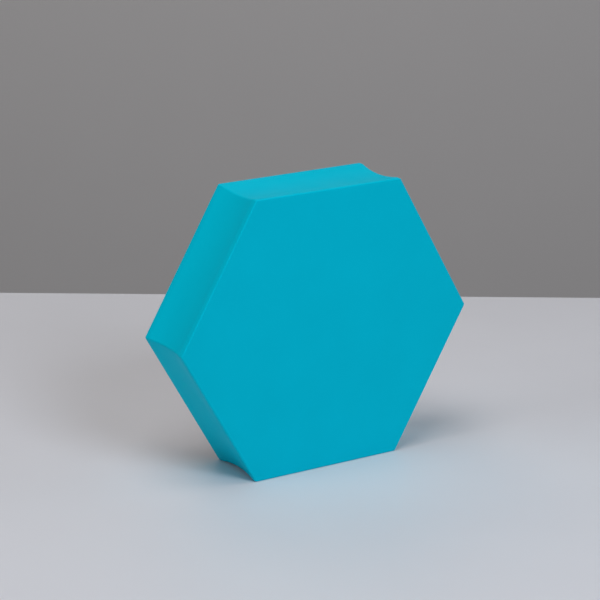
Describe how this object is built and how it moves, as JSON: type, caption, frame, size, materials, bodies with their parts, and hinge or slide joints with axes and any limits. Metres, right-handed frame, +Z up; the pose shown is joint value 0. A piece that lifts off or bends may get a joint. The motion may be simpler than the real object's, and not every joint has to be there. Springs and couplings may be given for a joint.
{
  "type": "rock tumbler barrel",
  "caption": "Squat hexagonal tumbling barrel with dished flanks, a plain closed end, a rubber-lined hollow and a round lid held by wing nuts.",
  "frame": {"origin": "middle of the footprint on the surface that the barrel stands on, one flank down", "axes": "+Z up; the barrel's axis lies along Y, its closed end faces -Y and its lid faces +Y; +X across the corners"},
  "size_m": [0.2494, 0.0793, 0.216],
  "materials": {
    "cast_polyurethane": "satin turquoise cast polyurethane",
    "liner_rubber": "matte black moulded rubber",
    "seal_rubber": "matte black moulded rubber",
    "aluminium_plate": "milled, lightly brushed",
    "insert_brass": "turned, knurled",
    "stainless_fasteners": "turned stainless steel",
    "stainless_lid": "brushed stainless steel sheet",
    "wing_nut_zinc": "zinc plated casting"
  },
  "bodies": {
    "barrel": {"barrel_shell": "cast_polyurethane", "liner": "liner_rubber", "end_gasket": "liner_rubber", "end_plate": "aluminium_plate", "corner_insert_1": "insert_brass", "corner_insert_2": "insert_brass", "corner_insert_3": "insert_brass", "corner_insert_4": "insert_brass", "corner_insert_5": "insert_brass", "corner_insert_6": "insert_brass", "end_screw_1": "stainless_fasteners", "end_screw_2": "stainless_fasteners", "end_screw_3": "stainless_fasteners", "end_screw_4": "stainless_fasteners", "end_screw_5": "stainless_fasteners", "end_screw_6": "stainless_fasteners", "lid_stud_1": "stainless_fasteners", "lid_stud_2": "stainless_fasteners", "lid_stud_3": "stainless_fasteners"},
    "lid": {"lid_seal": "seal_rubber", "lid_plate": "stainless_lid"},
    "washer_1": {"lid_washer_1": "stainless_fasteners"},
    "washer_2": {"lid_washer_2": "stainless_fasteners"},
    "washer_3": {"lid_washer_3": "stainless_fasteners"},
    "nut_1": {"wing_nut_1": "wing_nut_zinc"},
    "nut_2": {"wing_nut_2": "wing_nut_zinc"},
    "nut_3": {"wing_nut_3": "wing_nut_zinc"}
  },
  "joints": [
    {"name": "lid_lift", "type": "slide", "parent": "barrel", "child": "lid", "axis": [0, 1, 0], "range_m": [0, 0.06]},
    {"name": "nut_1_travel", "type": "slide", "parent": "lid", "child": "washer_1", "axis": [0, 1, 0], "range_m": [0, 0.011]},
    {"name": "nut_1_turn", "type": "hinge", "parent": "washer_1", "child": "nut_1", "pos_m": [0, 0.0236, 0.194], "axis": [0, 1, 0], "range_deg": [0, 3960]},
    {"name": "nut_2_travel", "type": "slide", "parent": "lid", "child": "washer_2", "axis": [0, 1, 0], "range_m": [0, 0.011]},
    {"name": "nut_2_turn", "type": "hinge", "parent": "washer_2", "child": "nut_2", "pos_m": [0.07448, 0.0236, 0.065], "axis": [0, 1, 0], "range_deg": [0, 3960]},
    {"name": "nut_3_travel", "type": "slide", "parent": "lid", "child": "washer_3", "axis": [0, 1, 0], "range_m": [0, 0.011]},
    {"name": "nut_3_turn", "type": "hinge", "parent": "washer_3", "child": "nut_3", "pos_m": [-0.07448, 0.0236, 0.065], "axis": [0, 1, 0], "range_deg": [0, 3960]}
  ],
  "couplings": [
    {"joint": "nut_1_turn", "follows": "nut_1_travel", "rad_per_m": 6283.2},
    {"joint": "nut_2_turn", "follows": "nut_2_travel", "rad_per_m": 6283.2},
    {"joint": "nut_3_turn", "follows": "nut_3_travel", "rad_per_m": 6283.2}
  ]
}
